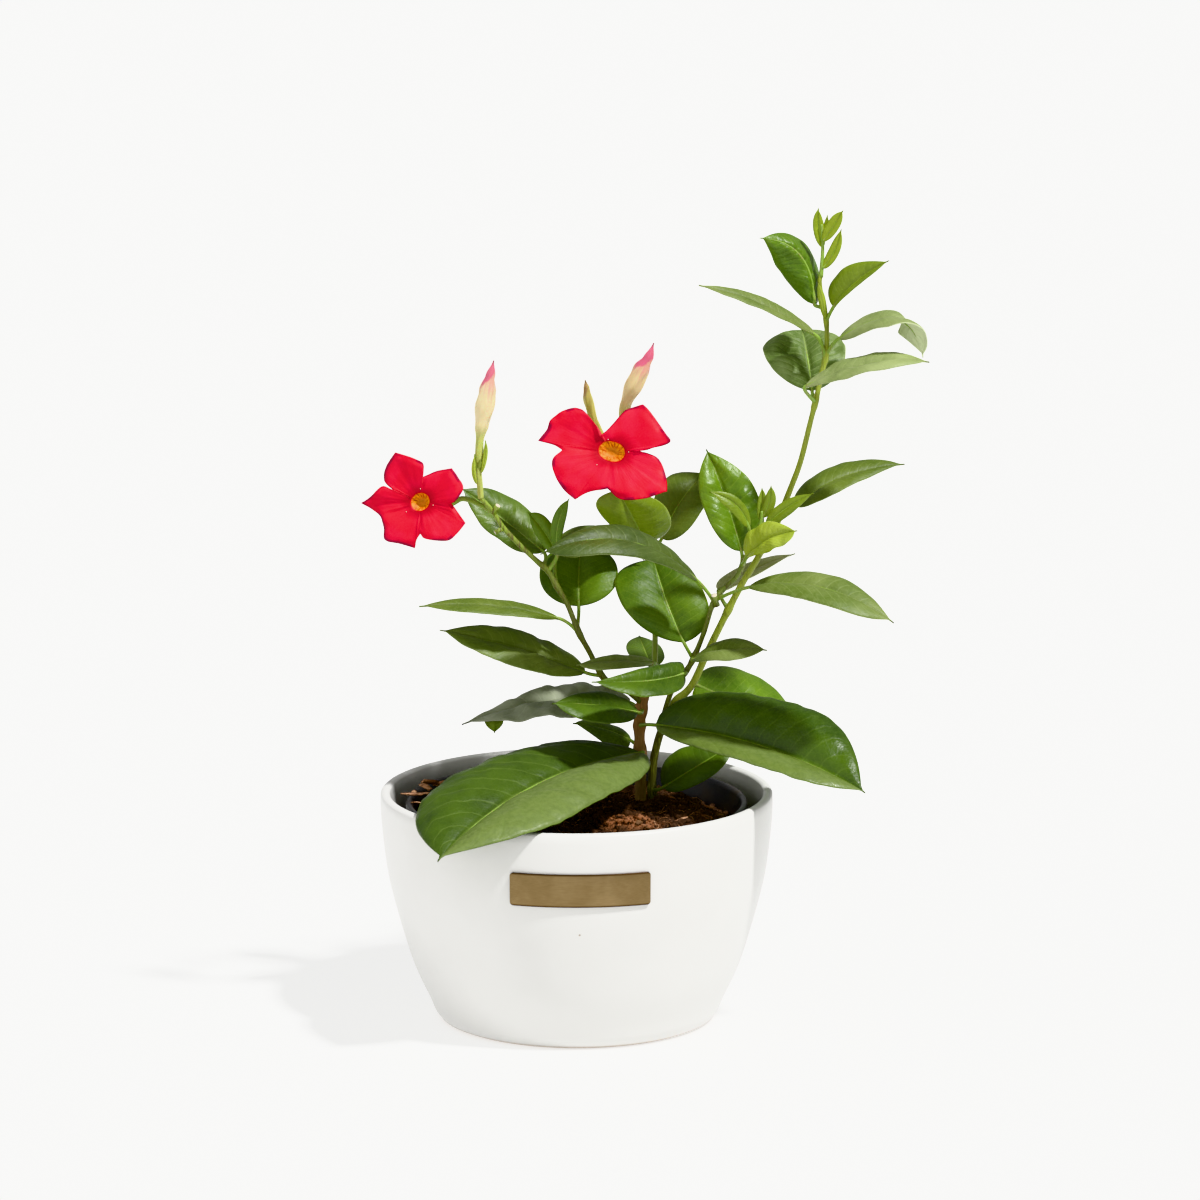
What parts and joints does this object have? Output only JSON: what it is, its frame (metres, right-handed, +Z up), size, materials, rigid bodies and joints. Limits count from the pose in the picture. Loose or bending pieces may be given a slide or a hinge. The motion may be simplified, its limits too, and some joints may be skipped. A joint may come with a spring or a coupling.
{
  "type": "mandevilla plant in a round white pot",
  "caption": "Young mandevilla with red trumpet flowers, buds and glossy oval leaves on forked stems, standing in a black nursery pot inside a white bowl-shaped pot with a bare metal plate",
  "frame": {"origin": "the middle of the flat underside of the white pot, on the surface the pot stands on", "axes": "+Z up along the pot's axis, which is also the longest extent; -Y is the side seen first, with the metal plate; +X is to the right of that view"},
  "size_m": [0.2543, 0.1925, 0.3733],
  "materials": {
    "glazed_white": "satin white glaze, a few dark specks",
    "nursery_black": "thin black moulded plastic",
    "potting_mix": null,
    "aged_brass": "brushed and darkened, bare",
    "bark_brown": "young brown bark",
    "stem_green": null,
    "leaf_dark": null,
    "leaf_green": null,
    "leaf_pale": null,
    "petal_red": null,
    "throat_orange": null,
    "bud_cream": null
  },
  "bodies": {
    "root": {"bud_left": "bud_cream", "bud_middle": "bud_cream", "bud_right": "bud_cream", "flower_left_lobes": "petal_red", "flower_left_stalk": "stem_green", "flower_left_throat": "throat_orange", "flower_right_lobes": "petal_red", "flower_right_stalk": "stem_green", "flower_right_throat": "throat_orange", "leaf_big_arch": "leaf_green", "leaf_centre_back": "leaf_green", "leaf_centre_flat": "leaf_green", "leaf_centre_front": "leaf_dark", "leaf_centre_round": "leaf_dark", "leaf_front_small": "leaf_dark", "leaf_left_arching": "leaf_green", "leaf_left_big": "leaf_green", "leaf_left_dark": "leaf_dark", "leaf_left_grey": "leaf_green", "leaf_left_narrow": "leaf_green", "leaf_left_upper": "leaf_green", "leaf_low_back_left": "leaf_green", "leaf_low_back_right": "leaf_green", "leaf_low_front": "leaf_dark", "leaf_low_right": "leaf_dark", "leaf_middle_left": "leaf_pale", "leaf_middle_right": "leaf_green", "leaf_new_left": "leaf_pale", "leaf_new_right": "leaf_pale", "leaf_right_arching": "leaf_green", "leaf_right_back": "leaf_pale", "leaf_right_glossy": "leaf_green", "leaf_right_low": "leaf_green", "leaf_right_pale": "leaf_pale", "leaf_sucker": "leaf_dark", "leaf_top_curl": "leaf_green", "leaf_top_folded": "leaf_green", "leaf_top_long": "leaf_green", "leaf_top_right": "leaf_pale", "leaf_upper_long": "leaf_green", "leaf_upper_round": "leaf_dark", "leaf_vine_low": "leaf_green", "left_stem": "stem_green", "middle_stem": "stem_green", "nursery_pot": "nursery_black", "plate": "aged_brass", "pot": "glazed_white", "shoot_left": "leaf_pale", "shoot_right": "leaf_pale", "shoot_top": "leaf_pale", "side_stem": "stem_green", "soil": "potting_mix", "trunk": "bark_brown", "vine": "stem_green"}
  },
  "joints": []
}
